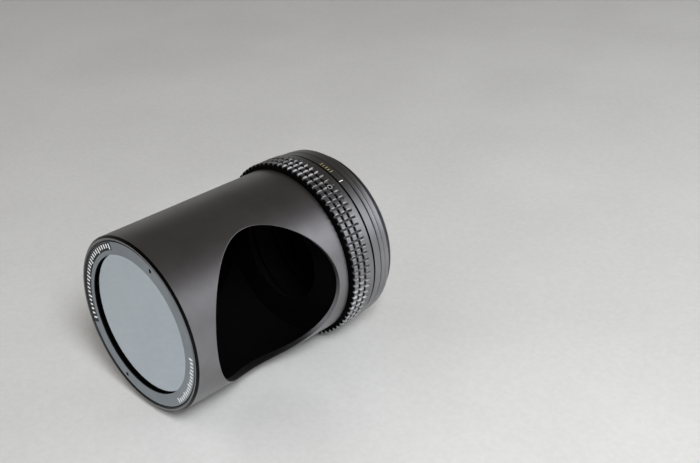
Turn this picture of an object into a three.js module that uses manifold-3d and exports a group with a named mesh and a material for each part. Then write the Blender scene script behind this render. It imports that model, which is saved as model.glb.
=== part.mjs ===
// Right-angle mirror attachment for a camera lens (it looks like a long lens
// barrel, but looks sideways through a window in its wall).
//
// Frame: millimetres, +Z up. The optical axis is the Y axis. The origin is on
// the axis at the rear seating shoulder, where the attachment stops against
// the rim of the camera lens. The decoy front end faces -Y and the side
// window faces +X. "Station" below is the distance from the front rim toward
// the rear, so y = station - BODY_LENGTH.

import * as THREE from 'three';
import { mergeVertices } from 'three/addons/utils/BufferGeometryUtils.js';
import Module from 'manifold-3d';

const wasm = await Module();
wasm.setup();

// ---------------------------------------------------------------- dimensions
const SIDES = 48;                 // facets of every turned piece
const SMALL_SIDES = 12;           // facets of screws and their holes
const GAP = 0.3;                  // assembly clearance between touching pieces
const BODY_LENGTH = 93.2;         // front rim to rear seating shoulder

const TUBE_R = 34.0;              // barrel outside radius (68 mm barrel)
const TUBE_BORE_R = 32.2;         // barrel inside radius, 1.8 mm wall
const TUBE_MOUTH_R = 32.1;        // female thread for the front ring
const TUBE_END = 72.15;           // station of the barrel's rear end

const WINDOW_STATION = 38.25;     // centre of the round side window
const WINDOW_R = 29.24;           // window bore radius

const FRONT_RING_FACE = 0.35;     // station of the front ring's face
const FRONT_RING_R = 31.8;
const FRONT_RING_EYE_R = 26.86;   // radius of the hole that shows the glass
const FRONT_RING_LIP = 0.9;       // thickness of the lip in front of the glass
const FRONT_RING_POCKET_R = 29.3;
const FRONT_RING_END = 4.3;
const SPANNER_HOLE_R = 0.7;
const SPANNER_HOLE_PITCH_R = 29.9;
const SPANNER_HOLE_ANGLE = 25.75; // degrees from +Z toward +X; the other is opposite

const GLASS_R = 29.0;
const GLASS_THICK = 1.8;

const SHIELD_R = 31.8;            // light shield disc behind the decoy glass
const SHIELD_FRONT = 4.6;
const SHIELD_THICK = 0.7;

const MIRROR_A = 42.0;            // ellipse half axes of the 45 degree mirror
const MIRROR_B = 30.6;
const MIRROR_THICK = 2.5;
const PAD_THICK = 0.8;            // foam bonding pad behind the mirror
const CRADLE_R = 31.8;
const CRADLE_FRONT = 5.6;
const CRADLE_WALL = 2.2;
const CRADLE_OFFSET = MIRROR_THICK + PAD_THICK + 2 * GAP;  // behind the mirror's face

const CRADLE_SCREWS = [           // [degrees from +Z toward +X, station]
  [270, 48], [215, 20], [308, 20],
];
const SCREW_SHANK_R = 1.0;
const SCREW_HEAD_R = 1.9;
const SCREW_HEAD_H = 1.0;
const SCREW_TIP_R = 30.0;         // distance of the screw's tip from the axis

const STOP_R = 19.0;              // light stops: the camera lens sees the mirror, not the window
const HUB_BORE_R = 27.5;
const HUB_STOP_THICK = 1.2;
const HUB_THREAD_R = 31.9;
const HUB_FRONT = 68.6;
const HUB_NECK_FRONT = 72.0;
const HUB_NECK_R = 30.9;
const HUB_FLANGE_R = 33.4;
const HUB_FLANGE_FRONT = 75.55;
const HUB_END = 77.2;

const GRIP_FRONT = 72.95;
const GRIP_END = 84.05;
const GRIP_R = 36.25;             // over the pads
const GRIP_ROOT_R = 35.45;        // floor of the flutes and grooves
const GRIP_LAND_R = 36.1;         // plain land behind the pads
const GRIP_LIP_R = 31.2;          // inner lip that traps the hub's flange
const GRIP_LIP_END = 74.65;
const GRIP_BORE_R = 33.7;         // female thread on the base ring
const GRIP_TEETH = 80;
const FLUTE_WIDTH = 0.85;
const FLUTE_END = 81.4;
const GROOVES = [[75.4, 76.1], [78.45, 79.15]];   // stations of the two ring grooves

const SET_SCREW_STATION = 79.6;
const SET_SCREW_ANGLES = [31, 151, 271];
const SET_SCREW_R = 1.2;
const SET_SCREW_TOP = 36.0;
const SET_SCREW_TIP = 33.7;
const SET_SCREW_KEY = 1.3;        // hexagon socket, across flats

const THRUST_FRONT = 74.95;
const THRUST_THICK = 0.3;
const WAVE_FRONT = 77.5;
const WAVE_THICK = 0.25;
const WAVE_TRAVEL = 0.45;
const WAVE_COUNT = 4;

const BASE_BORE_R = 28.3;
const BASE_SLEEVE_R = 33.4;
const BASE_FRONT = 78.5;
const BASE_RIM_FRONT = 84.75;
const BASE_RIM_END = 88.2;
const BASE_RIM_R = 35.7;
const BASE_STUB_R = 30.9;         // male thread for the step ring
const BASE_STUB_END = 91.5;

const BAFFLE_R = 28.0;            // pressed cup that carries the rear light stop
const BAFFLE_WALL = 1.0;
const BAFFLE_FRONT = 88.0;
const BAFFLE_END = 96.4;

const STEP_FRONT = 88.5;
const STEP_SPLIT = 90.65;         // line between its two bands
const STEP_R1 = 35.6;
const STEP_R2 = 35.3;
const STEP_SOCKET_R = 31.2;
const STEP_SOCKET_END = 91.8;
const STEP_BORE_R = 29.6;
const STEP_THREAD_R = 33.35;      // M67 x 0.75 male thread, drawn plain
const STEP_THREAD_END = 96.7;

// ------------------------------------------------------------------- helpers
const Y = (station) => station - BODY_LENGTH;
const rad = (deg) => deg * Math.PI / 180;

// A three.js geometry as a manifold solid, outward faces guaranteed.
function solid(geometry) {
  let g = geometry.clone();
  g.deleteAttribute('normal');
  g.deleteAttribute('uv');
  g = mergeVertices(g, 1e-4);
  const p = g.attributes.position.array;
  const tri = [];
  let volume = 0;
  for (let i = 0; i < g.index.count; i += 3) {
    const [a, b, c] = [0, 1, 2].map((k) => g.index.getX(i + k));
    if (a === b || b === c || c === a) continue;
    tri.push(a, b, c);
    volume += p[3 * a] * (p[3 * b + 1] * p[3 * c + 2] - p[3 * b + 2] * p[3 * c + 1])
      + p[3 * a + 1] * (p[3 * b + 2] * p[3 * c] - p[3 * b] * p[3 * c + 2])
      + p[3 * a + 2] * (p[3 * b] * p[3 * c + 1] - p[3 * b + 1] * p[3 * c]);
  }
  if (volume < 0) for (let i = 0; i < tri.length; i += 3) [tri[i + 1], tri[i + 2]] = [tri[i + 2], tri[i + 1]];
  return new wasm.Manifold(new wasm.Mesh({
    numProp: 3,
    vertProperties: new Float32Array(p),
    triVerts: new Uint32Array(tri),
  }));
}

function geometryOf(body) {
  const m = body.getMesh();
  const g = new THREE.BufferGeometry();
  g.setAttribute('position', new THREE.BufferAttribute(new Float32Array(m.vertProperties), 3));
  g.setIndex(new THREE.BufferAttribute(new Uint32Array(m.triVerts), 1));
  g.computeVertexNormals();
  return g;
}

// A turned ring: closed profile of [radius, station] pairs around the Y axis.
function turned(profile, sides = SIDES) {
  const points = profile.map(([r, s]) => new THREE.Vector2(r, Y(s)));
  points.push(points[0].clone());
  return solid(new THREE.LatheGeometry(points, sides));
}

// A turned disc: the profile starts and ends on the axis.
function turnedDisc(profile, sides = SIDES) {
  return solid(new THREE.LatheGeometry(profile.map(([r, s]) => new THREE.Vector2(r, Y(s))), sides));
}

// Local +Y of a radial piece points away from the axis; degrees run from +Z toward +X.
function radial(degrees, station) {
  const out = new THREE.Vector3(Math.sin(rad(degrees)), 0, Math.cos(rad(degrees)));
  const along = new THREE.Vector3(0, 1, 0);
  const side = new THREE.Vector3().crossVectors(out, along);
  return new THREE.Matrix4().makeBasis(side, out, along.clone())
    .setPosition(0, Y(station), 0);
}

// Frame of the mirror: local X across (world Z), local Y along the long half
// axis, local Z out of the reflecting face, toward +X and +Y.
const mirrorNormal = new THREE.Vector3(1, 1, 0).normalize();
const mirrorLong = new THREE.Vector3(-1, 1, 0).normalize();
const mirrorFrame = new THREE.Matrix4()
  .makeBasis(new THREE.Vector3().crossVectors(mirrorLong, mirrorNormal), mirrorLong, mirrorNormal)
  .setPosition(0, Y(WINDOW_STATION), 0);

function ellipsePlate(a, b, zLow, zHigh, segments = 48, hole = null) {
  const shape = new THREE.Shape();
  const outline = [];
  for (let i = 0; i < segments; i++) {
    const t = (2 * Math.PI * i) / segments;
    outline.push(new THREE.Vector2(b * Math.cos(t), a * Math.sin(t)));
  }
  shape.setFromPoints(outline);
  if (hole) {
    const inner = [];
    for (let i = 0; i < segments; i++) {
      const t = (-2 * Math.PI * i) / segments;
      inner.push(new THREE.Vector2(hole[1] * Math.cos(t), hole[0] * Math.sin(t)));
    }
    shape.holes.push(new THREE.Path().setFromPoints(inner));
  }
  const g = new THREE.ExtrudeGeometry(shape, { depth: zHigh - zLow, bevelEnabled: false });
  g.translate(0, 0, zLow);
  g.applyMatrix4(mirrorFrame);
  return solid(g);
}

// A big block on the far side of the mirror's plane, shifted back by `behind`.
function mirrorHalfSpace(behind) {
  const g = new THREE.BoxGeometry(200, 200, 200);
  g.translate(0, 0, 100 - behind);
  g.applyMatrix4(mirrorFrame);
  return solid(g);
}

function metal(color, roughness, metalness = 1) {
  return new THREE.MeshStandardMaterial({ color, roughness, metalness });
}

const satinBlack = () => metal(0x2b2a29, 0.42, 0.7);
const tubeBlack = () => metal(0x34322f, 0.38, 0.7);
const steel = () => metal(0x8c8c88, 0.3, 1);
const matteBlack = () => metal(0x090909, 0.95, 0);

const barrel = new THREE.Group();
const mount = new THREE.Group();

function add(group, name, body, material) {
  const mesh = new THREE.Mesh(geometryOf(body), material);
  mesh.name = name;
  group.add(mesh);
}

// -------------------------------------------------------------------- barrel
{
  let tube = turned([
    [TUBE_MOUTH_R, 0], [TUBE_R - 0.6, 0], [TUBE_R, 0.6], [TUBE_R, TUBE_END],
    [TUBE_BORE_R, TUBE_END], [TUBE_BORE_R, 5.4], [TUBE_MOUTH_R, 5.4],
  ]);
  const cutter = new THREE.CylinderGeometry(WINDOW_R, WINDOW_R, 60, SIDES);
  cutter.rotateZ(Math.PI / 2);
  cutter.translate(30, Y(WINDOW_STATION), 0);
  tube = tube.subtract(solid(cutter));
  for (const [degrees, station] of CRADLE_SCREWS) {
    const hole = new THREE.LatheGeometry([
      new THREE.Vector2(0, 28), new THREE.Vector2(SCREW_SHANK_R + GAP, 28),
      new THREE.Vector2(SCREW_SHANK_R + GAP, TUBE_R - SCREW_HEAD_H - 0.35),
      new THREE.Vector2(SCREW_HEAD_R + GAP, TUBE_R - 0.05),
      new THREE.Vector2(SCREW_HEAD_R + GAP, TUBE_R + 2), new THREE.Vector2(0, TUBE_R + 2),
    ], SMALL_SIDES);
    hole.applyMatrix4(radial(degrees, station));
    tube = tube.subtract(solid(hole));
  }
  add(barrel, 'barrel_tube', tube, tubeBlack());
}

{
  const lipEnd = FRONT_RING_FACE + FRONT_RING_LIP;
  let ring = turned([
    [FRONT_RING_EYE_R, FRONT_RING_FACE], [FRONT_RING_R, FRONT_RING_FACE],
    [FRONT_RING_R, FRONT_RING_END], [FRONT_RING_POCKET_R, FRONT_RING_END],
    [FRONT_RING_POCKET_R, lipEnd], [FRONT_RING_EYE_R, lipEnd],
  ]);
  for (const degrees of [SPANNER_HOLE_ANGLE, SPANNER_HOLE_ANGLE + 180]) {
    const hole = new THREE.CylinderGeometry(SPANNER_HOLE_R, SPANNER_HOLE_R, 2.4, SMALL_SIDES);
    hole.translate(Math.sin(rad(degrees)) * SPANNER_HOLE_PITCH_R, Y(FRONT_RING_FACE + 0.2),
      Math.cos(rad(degrees)) * SPANNER_HOLE_PITCH_R);
    ring = ring.subtract(solid(hole));
  }
  add(barrel, 'front_ring', ring, satinBlack());

  const glassFront = lipEnd + GAP;
  add(barrel, 'decoy_glass', turnedDisc([
    [0, glassFront], [GLASS_R, glassFront], [GLASS_R, glassFront + GLASS_THICK],
    [0, glassFront + GLASS_THICK],
  ]), metal(0x9aa3aa, 0.06, 1));

  const clipFront = glassFront + GLASS_THICK + GAP;
  const slot = new THREE.BoxGeometry(9, 6, 10);
  slot.translate(0, Y(clipFront), -29);
  add(barrel, 'glass_snap_ring', turned([
    [28.0, clipFront], [GLASS_R, clipFront], [GLASS_R, clipFront + 0.5], [28.0, clipFront + 0.5],
  ]).subtract(solid(slot)), steel());
}

add(barrel, 'light_shield_disc', turnedDisc([
  [0, SHIELD_FRONT], [SHIELD_R, SHIELD_FRONT], [SHIELD_R, SHIELD_FRONT + SHIELD_THICK],
  [0, SHIELD_FRONT + SHIELD_THICK],
]), matteBlack());

{
  // Wedge-shaped cup: a turned slug cut off at 45 degrees and hollowed from the front.
  let cradle = turnedDisc([
    [0, CRADLE_FRONT], [CRADLE_R, CRADLE_FRONT], [CRADLE_R, 70], [0, 70],
  ]).subtract(mirrorHalfSpace(CRADLE_OFFSET));
  const hollow = turnedDisc([
    [0, CRADLE_FRONT - 3], [CRADLE_R - CRADLE_WALL, CRADLE_FRONT - 3],
    [CRADLE_R - CRADLE_WALL, 70], [0, 70],
  ]).subtract(mirrorHalfSpace(CRADLE_OFFSET + CRADLE_WALL));
  cradle = cradle.subtract(hollow);
  for (const [degrees, station] of CRADLE_SCREWS) {
    const hole = new THREE.CylinderGeometry(SCREW_SHANK_R + GAP, SCREW_SHANK_R + GAP, 12, SMALL_SIDES);
    hole.translate(0, 32, 0);
    hole.applyMatrix4(radial(degrees, station));
    cradle = cradle.subtract(solid(hole));
  }
  add(barrel, 'mirror_cradle', cradle, matteBlack());
}

add(barrel, 'mirror', ellipsePlate(MIRROR_A, MIRROR_B, -MIRROR_THICK, 0), metal(0xd8dcde, 0.02, 1));
add(barrel, 'mirror_bonding_pad', ellipsePlate(MIRROR_A - 6, MIRROR_B - 5,
  -(MIRROR_THICK + GAP + PAD_THICK), -(MIRROR_THICK + GAP), 48,
  [MIRROR_A - 16, MIRROR_B - 14]), matteBlack());

CRADLE_SCREWS.forEach(([degrees, station], i) => {
  const body = new THREE.LatheGeometry([
    new THREE.Vector2(0, SCREW_TIP_R), new THREE.Vector2(SCREW_SHANK_R, SCREW_TIP_R),
    new THREE.Vector2(SCREW_SHANK_R, TUBE_R - SCREW_HEAD_H),
    new THREE.Vector2(SCREW_HEAD_R, TUBE_R - 0.05), new THREE.Vector2(0, TUBE_R - 0.05),
  ], SMALL_SIDES);
  body.applyMatrix4(radial(degrees, station));
  let screw = solid(body);
  for (const turn of [0, Math.PI / 2]) {
    const slot = new THREE.BoxGeometry(2.2, 1.4, 0.5);
    slot.rotateY(turn);
    slot.translate(0, TUBE_R, 0);
    slot.applyMatrix4(radial(degrees, station));
    screw = screw.subtract(solid(slot));
  }
  add(barrel, `cradle_screw_${i + 1}`, screw, steel());
});

add(barrel, 'swivel_hub', turned([
  [STOP_R, HUB_FRONT], [HUB_THREAD_R, HUB_FRONT], [HUB_THREAD_R, HUB_NECK_FRONT],
  [HUB_NECK_R, HUB_NECK_FRONT], [HUB_NECK_R, HUB_FLANGE_FRONT],
  [HUB_FLANGE_R, HUB_FLANGE_FRONT], [HUB_FLANGE_R, HUB_END], [HUB_BORE_R, HUB_END],
  [HUB_BORE_R, HUB_FRONT + HUB_STOP_THICK], [STOP_R, HUB_FRONT + HUB_STOP_THICK],
]), satinBlack());

// --------------------------------------------------------------------- mount
{
  // Pads first: an outline with one V flute per tooth, extruded along the axis.
  const half = Math.asin(FLUTE_WIDTH / 2 / GRIP_R);
  const outline = [];
  for (let i = 0; i < GRIP_TEETH; i++) {
    const at = (2 * Math.PI * i) / GRIP_TEETH;
    outline.push(new THREE.Vector2(GRIP_ROOT_R * Math.sin(at), GRIP_ROOT_R * Math.cos(at)));
    for (const to of [at + half, at + (2 * Math.PI) / GRIP_TEETH - half]) {
      outline.push(new THREE.Vector2(GRIP_R * Math.sin(to), GRIP_R * Math.cos(to)));
    }
  }
  const pads = new THREE.ExtrudeGeometry(new THREE.Shape(outline),
    { depth: FLUTE_END - GRIP_FRONT, bevelEnabled: false });
  pads.rotateX(Math.PI / 2);            // the outline's +Y becomes +Z
  pads.translate(0, Y(FLUTE_END), 0);
  let grip = solid(pads);
  for (const [from, to] of GROOVES) {
    grip = grip.subtract(turned([
      [GRIP_ROOT_R, from], [GRIP_R + 2, from], [GRIP_R + 2, to], [GRIP_ROOT_R, to],
    ], GRIP_TEETH));
  }
  grip = grip.add(turnedDisc([
    [0, FLUTE_END], [GRIP_LAND_R, FLUTE_END], [GRIP_LAND_R, GRIP_END], [0, GRIP_END],
  ], GRIP_TEETH));
  grip = grip.subtract(turnedDisc([
    [0, GRIP_FRONT - 1], [GRIP_LIP_R, GRIP_FRONT - 1], [GRIP_LIP_R, GRIP_LIP_END],
    [GRIP_BORE_R, GRIP_LIP_END], [GRIP_BORE_R, GRIP_END + 1], [0, GRIP_END + 1],
  ]));
  for (const degrees of SET_SCREW_ANGLES) {
    const hole = new THREE.CylinderGeometry(SET_SCREW_R + GAP, SET_SCREW_R + GAP, 8, SMALL_SIDES);
    hole.translate(0, 35, 0);
    hole.applyMatrix4(radial(degrees, SET_SCREW_STATION));
    grip = grip.subtract(solid(hole));
  }
  add(mount, 'grip_ring', grip, satinBlack());
}

SET_SCREW_ANGLES.forEach((degrees, i) => {
  const body = new THREE.LatheGeometry([
    new THREE.Vector2(0, SET_SCREW_TIP), new THREE.Vector2(SET_SCREW_R - 0.35, SET_SCREW_TIP),
    new THREE.Vector2(SET_SCREW_R, SET_SCREW_TIP + 0.35),
    new THREE.Vector2(SET_SCREW_R, SET_SCREW_TOP), new THREE.Vector2(0, SET_SCREW_TOP),
  ], SMALL_SIDES);
  body.applyMatrix4(radial(degrees, SET_SCREW_STATION));
  const key = new THREE.CylinderGeometry(SET_SCREW_KEY / Math.sqrt(3), SET_SCREW_KEY / Math.sqrt(3), 2.4, 6);
  key.translate(0, SET_SCREW_TOP, 0);
  key.applyMatrix4(radial(degrees, SET_SCREW_STATION));
  add(mount, `set_screw_${i + 1}`, solid(body).subtract(solid(key)), steel());
});

add(mount, 'thrust_washer', turned([
  [31.4, THRUST_FRONT], [33.3, THRUST_FRONT], [33.3, THRUST_FRONT + THRUST_THICK],
  [31.4, THRUST_FRONT + THRUST_THICK],
]), metal(0xd9d6cc, 0.6, 0));

{
  // Wave washer: a flat turned ring whose stations ripple around the axis.
  const g = new THREE.LatheGeometry([
    new THREE.Vector2(31.0, 0), new THREE.Vector2(33.0, 0),
    new THREE.Vector2(33.0, WAVE_THICK), new THREE.Vector2(31.0, WAVE_THICK), new THREE.Vector2(31.0, 0),
  ], SIDES);
  const p = g.attributes.position;
  for (let i = 0; i < p.count; i++) {
    const angle = Math.atan2(p.getX(i), p.getZ(i));
    p.setY(i, p.getY(i) + Y(WAVE_FRONT) + WAVE_TRAVEL * (0.5 - 0.5 * Math.cos(WAVE_COUNT * angle)));
  }
  add(mount, 'wave_washer', solid(g), steel());
}

add(mount, 'base_ring', turned([
  [BASE_BORE_R, BASE_FRONT], [BASE_SLEEVE_R, BASE_FRONT], [BASE_SLEEVE_R, BASE_RIM_FRONT],
  [BASE_RIM_R, BASE_RIM_FRONT], [BASE_RIM_R, BASE_RIM_END],
  [BASE_STUB_R, BASE_RIM_END], [BASE_STUB_R, BASE_STUB_END], [BASE_BORE_R, BASE_STUB_END],
]), satinBlack());

add(mount, 'step_ring', turned([
  [STEP_SOCKET_R, STEP_FRONT], [STEP_R1, STEP_FRONT], [STEP_R1, STEP_SPLIT],
  [STEP_R2, STEP_SPLIT], [STEP_R2, BODY_LENGTH],
  [STEP_THREAD_R, BODY_LENGTH], [STEP_THREAD_R, STEP_THREAD_END], [STEP_BORE_R, STEP_THREAD_END],
  [STEP_BORE_R, STEP_SOCKET_END], [STEP_SOCKET_R, STEP_SOCKET_END],
]), satinBlack());

add(mount, 'rear_baffle', turned([
  [BAFFLE_R - BAFFLE_WALL, BAFFLE_FRONT], [BAFFLE_R, BAFFLE_FRONT], [BAFFLE_R, BAFFLE_END],
  [STOP_R, BAFFLE_END], [STOP_R, BAFFLE_END - BAFFLE_WALL],
  [BAFFLE_R - BAFFLE_WALL, BAFFLE_END - BAFFLE_WALL],
]), matteBlack());

const attachment = new THREE.Group();
attachment.add(mount, barrel);
export default attachment;
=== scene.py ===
import math

import bpy
import numpy as np
from mathutils import Matrix, Vector


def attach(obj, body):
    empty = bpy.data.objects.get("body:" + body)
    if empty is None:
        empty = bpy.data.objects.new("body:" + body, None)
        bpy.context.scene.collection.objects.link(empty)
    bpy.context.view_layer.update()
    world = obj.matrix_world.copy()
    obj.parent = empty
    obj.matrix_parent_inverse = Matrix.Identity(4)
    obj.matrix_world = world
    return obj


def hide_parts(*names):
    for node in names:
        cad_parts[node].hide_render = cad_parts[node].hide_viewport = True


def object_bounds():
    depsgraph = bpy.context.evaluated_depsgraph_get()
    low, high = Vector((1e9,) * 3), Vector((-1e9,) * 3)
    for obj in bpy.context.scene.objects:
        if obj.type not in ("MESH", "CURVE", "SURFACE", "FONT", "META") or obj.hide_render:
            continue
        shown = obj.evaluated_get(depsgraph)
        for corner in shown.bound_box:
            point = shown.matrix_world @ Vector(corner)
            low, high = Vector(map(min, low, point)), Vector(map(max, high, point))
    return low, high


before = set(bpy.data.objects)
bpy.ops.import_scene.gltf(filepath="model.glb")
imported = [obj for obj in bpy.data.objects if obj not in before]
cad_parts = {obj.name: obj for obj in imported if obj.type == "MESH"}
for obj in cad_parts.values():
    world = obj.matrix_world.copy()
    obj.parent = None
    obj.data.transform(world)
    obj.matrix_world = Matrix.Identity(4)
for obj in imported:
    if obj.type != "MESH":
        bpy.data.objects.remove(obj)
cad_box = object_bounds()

# ------------------------------------------------------------------ dimensions
# Millimetres. A station is the distance behind the front rim; y = station - 93.2.
MM = 0.001
LENGTH = 93.2
COLS = 256                     # slices of every turned piece; 90 degrees is slice 64
TAU = 2 * math.pi

TUBE_R, TUBE_BORE_R, TUBE_MOUTH_R, TUBE_END = 34.0, 32.2, 32.1, 72.15
WINDOW_STATION, WINDOW_R = 38.25, 29.24
FACE, RING_R, EYE_R, POCKET_R, RING_END = 0.35, 31.8, 26.86, 29.3, 4.3
SPANNER_R, SPANNER_PITCH_R, SPANNER_ANGLE = 0.7, 29.9, 25.75
CRADLE_SCREWS = [(270, 48), (215, 20), (308, 20)]
SET_SCREW_ANGLES, SET_SCREW_STATION = [31, 151, 271], 79.6
MIRROR_A, MIRROR_B, MIRROR_THICK, PAD_THICK = 42.0, 30.6, 2.5, 0.8
GRIP_FRONT, GRIP_END, GRIP_R, GRIP_ROOT, GRIP_LAND = 72.95, 84.05, 36.25, 35.45, 36.1
GROOVES = [(75.4, 76.1), (78.45, 79.15)]
TEETH = 80
STOP_R = 19.0

scene = bpy.context.scene


# --------------------------------------------------------------- mesh building
def at(r, phi, station):
    """A point from its radius, angle (radians from +Z toward +X) and station, in mm."""
    return (r * math.sin(phi), station - LENGTH, r * math.cos(phi))


def out_of(nr, ns, phi):
    return (nr * math.sin(phi), ns, nr * math.cos(phi))


class Shell:
    """Vertices merged by place, faces with a normal at each corner, and a value for each vertex: edge wear and painted
    highlight where positive, painted shade where negative.
    """

    def __init__(self):
        self.co, self.index, self.faces, self.normals, self.mats, self.wear_and_painted_light = [], {}, [], [], [], []

    def v(self, p, wear_and_painted_light=0.0):
        key = (round(p[0] * 1e4 + 0.037), round(p[1] * 1e4 + 0.037), round(p[2] * 1e4 + 0.037))
        i = self.index.get(key)
        if i is None:
            i = self.index[key] = len(self.co)
            self.co.append(p)
            self.wear_and_painted_light.append(wear_and_painted_light)
        elif abs(wear_and_painted_light) > abs(self.wear_and_painted_light[i]):
            self.wear_and_painted_light[i] = wear_and_painted_light
        return i

    def face(self, ids, normals, mat=0):
        keep = [k for k in range(len(ids)) if ids[k] != ids[k - 1]]
        if len(keep) < 3:
            return
        self.faces.append([ids[k] for k in keep])
        self.normals.append([normals[k] for k in keep])
        self.mats.append(mat)

    def link(self, a, b, na, nb, mat=0, closed=True):
        """Quads between two rings of vertices; the face looks along (a to b) x (along the ring)."""
        n = len(a)
        for j in range(n if closed else n - 1):
            k = (j + 1) % n
            self.face([a[j], b[j], b[k], a[k]], [na[j], nb[j], nb[k], na[k]], mat)

    def make(self, name, materials, custom=True, sharp=None):
        mesh = bpy.data.meshes.new(name)
        mesh.from_pydata([(x * MM, y * MM, z * MM) for x, y, z in self.co], [], self.faces)
        mesh.polygons.foreach_set("use_smooth", [True] * len(mesh.polygons))
        mesh.polygons.foreach_set("material_index", self.mats)
        for m in materials:
            mesh.materials.append(m)
        # per-vertex value: edge wear and painted highlight where positive, painted shade where negative
        layer = mesh.attributes.new("wear_and_painted_light", "FLOAT", "POINT")
        layer.data.foreach_set("value", self.wear_and_painted_light)
        mesh.update()
        if custom:
            flat = [n for corner in self.normals for n in corner]
            mesh.normals_split_custom_set(flat)
        elif sharp is not None:
            mesh.set_sharp_from_angle(angle=math.radians(sharp))
        ob = bpy.data.objects.new(name, mesh)
        scene.collection.objects.link(ob)
        return ob


def unit(x, y):
    d = math.hypot(x, y)
    return (x / d, y / d)


def rounded(profile, steps=4):
    """A closed profile of (r, station, round) corners as points (r, s, normal in, normal out, vertex value),
    counter-clockwise; the value is edge wear on convex corners and painted shade, negative, on concave ones.
    """
    pts = [tuple(p) if len(p) == 3 else (p[0], p[1], 0.0) for p in profile]
    area = sum(pts[i - 1][0] * pts[i][1] - pts[i][0] * pts[i - 1][1] for i in range(len(pts)))
    if area < 0:
        pts.reverse()
    n, res = len(pts), []
    for i in range(n):
        a, p, b = pts[i - 1], pts[i], pts[(i + 1) % n]
        d1, d2 = unit(p[0] - a[0], p[1] - a[1]), unit(b[0] - p[0], b[1] - p[1])
        n1, n2 = (d1[1], -d1[0]), (d2[1], -d2[0])
        turn = math.atan2(d1[0] * d2[1] - d1[1] * d2[0], d1[0] * d2[0] + d1[1] * d2[1])
        f = p[2]
        if f <= 0 or abs(turn) < 0.03 or p[0] < 1e-6:
            # sharp convex corners get edge wear; sharp concave corners get a negative value, painted shade in the
            # crease
            res.append((p[0], p[1], n1, n2, 0.55 if turn > 0.5 and p[0] > 1e-6 else (-0.6 if turn < -0.5 else 0.0)))
            continue
        t = f * math.tan(abs(turn) / 2)
        sgn = 1 if turn > 0 else -1
        cx, cy = p[0] - d1[0] * t - n1[0] * f * sgn, p[1] - d1[1] * t - n1[1] * f * sgn
        for k in range(steps + 1):
            g = turn * k / steps
            nk = (n1[0] * math.cos(g) - n1[1] * math.sin(g), n1[0] * math.sin(g) + n1[1] * math.cos(g))
            w = math.sin(math.pi * k / steps)
            # rounded convex corners get edge wear, rounded concave corners painted shade
            res.append((cx + nk[0] * f * sgn, cy + nk[1] * f * sgn, nk, nk, w if sgn > 0 else -0.6 * w))
    return res


def turn_into(shell, points, cols=COLS, mat=0, skip=None, closed=True, mat_of=None):
    """Turns profile points around the axis into the shell."""
    n = len(points)
    rings = []
    for r, s, n1, n2, w in points:
        if r < 1e-6:
            rings.append([shell.v((0, s - LENGTH, 0), w)] * cols)
        else:
            rings.append([shell.v(at(r, TAU * k / cols, s), w) for k in range(cols)])
    for i in range(n if closed else n - 1):
        j = (i + 1) % n
        a, b = points[i], points[j]
        if a[0] < 1e-6 and b[0] < 1e-6:
            continue
        if skip and skip(a, b):
            continue
        m = mat_of(a, b) if mat_of else mat
        na = [out_of(a[3][0], a[3][1], TAU * k / cols) for k in range(cols)]
        nb = [out_of(b[2][0], b[2][1], TAU * k / cols) for k in range(cols)]
        for k in range(cols):
            h = (k + 1) % cols
            shell.face([rings[i][k], rings[i][h], rings[j][h], rings[j][k]], [na[k], na[h], nb[h], nb[k]], m)


def turned(name, profile, materials, body, cols=COLS, steps=4, mat_of=None):
    shell = Shell()
    turn_into(shell, rounded(profile, steps), cols, mat_of=mat_of)
    ob = shell.make(name, materials)
    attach(ob, body)
    return ob


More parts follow.
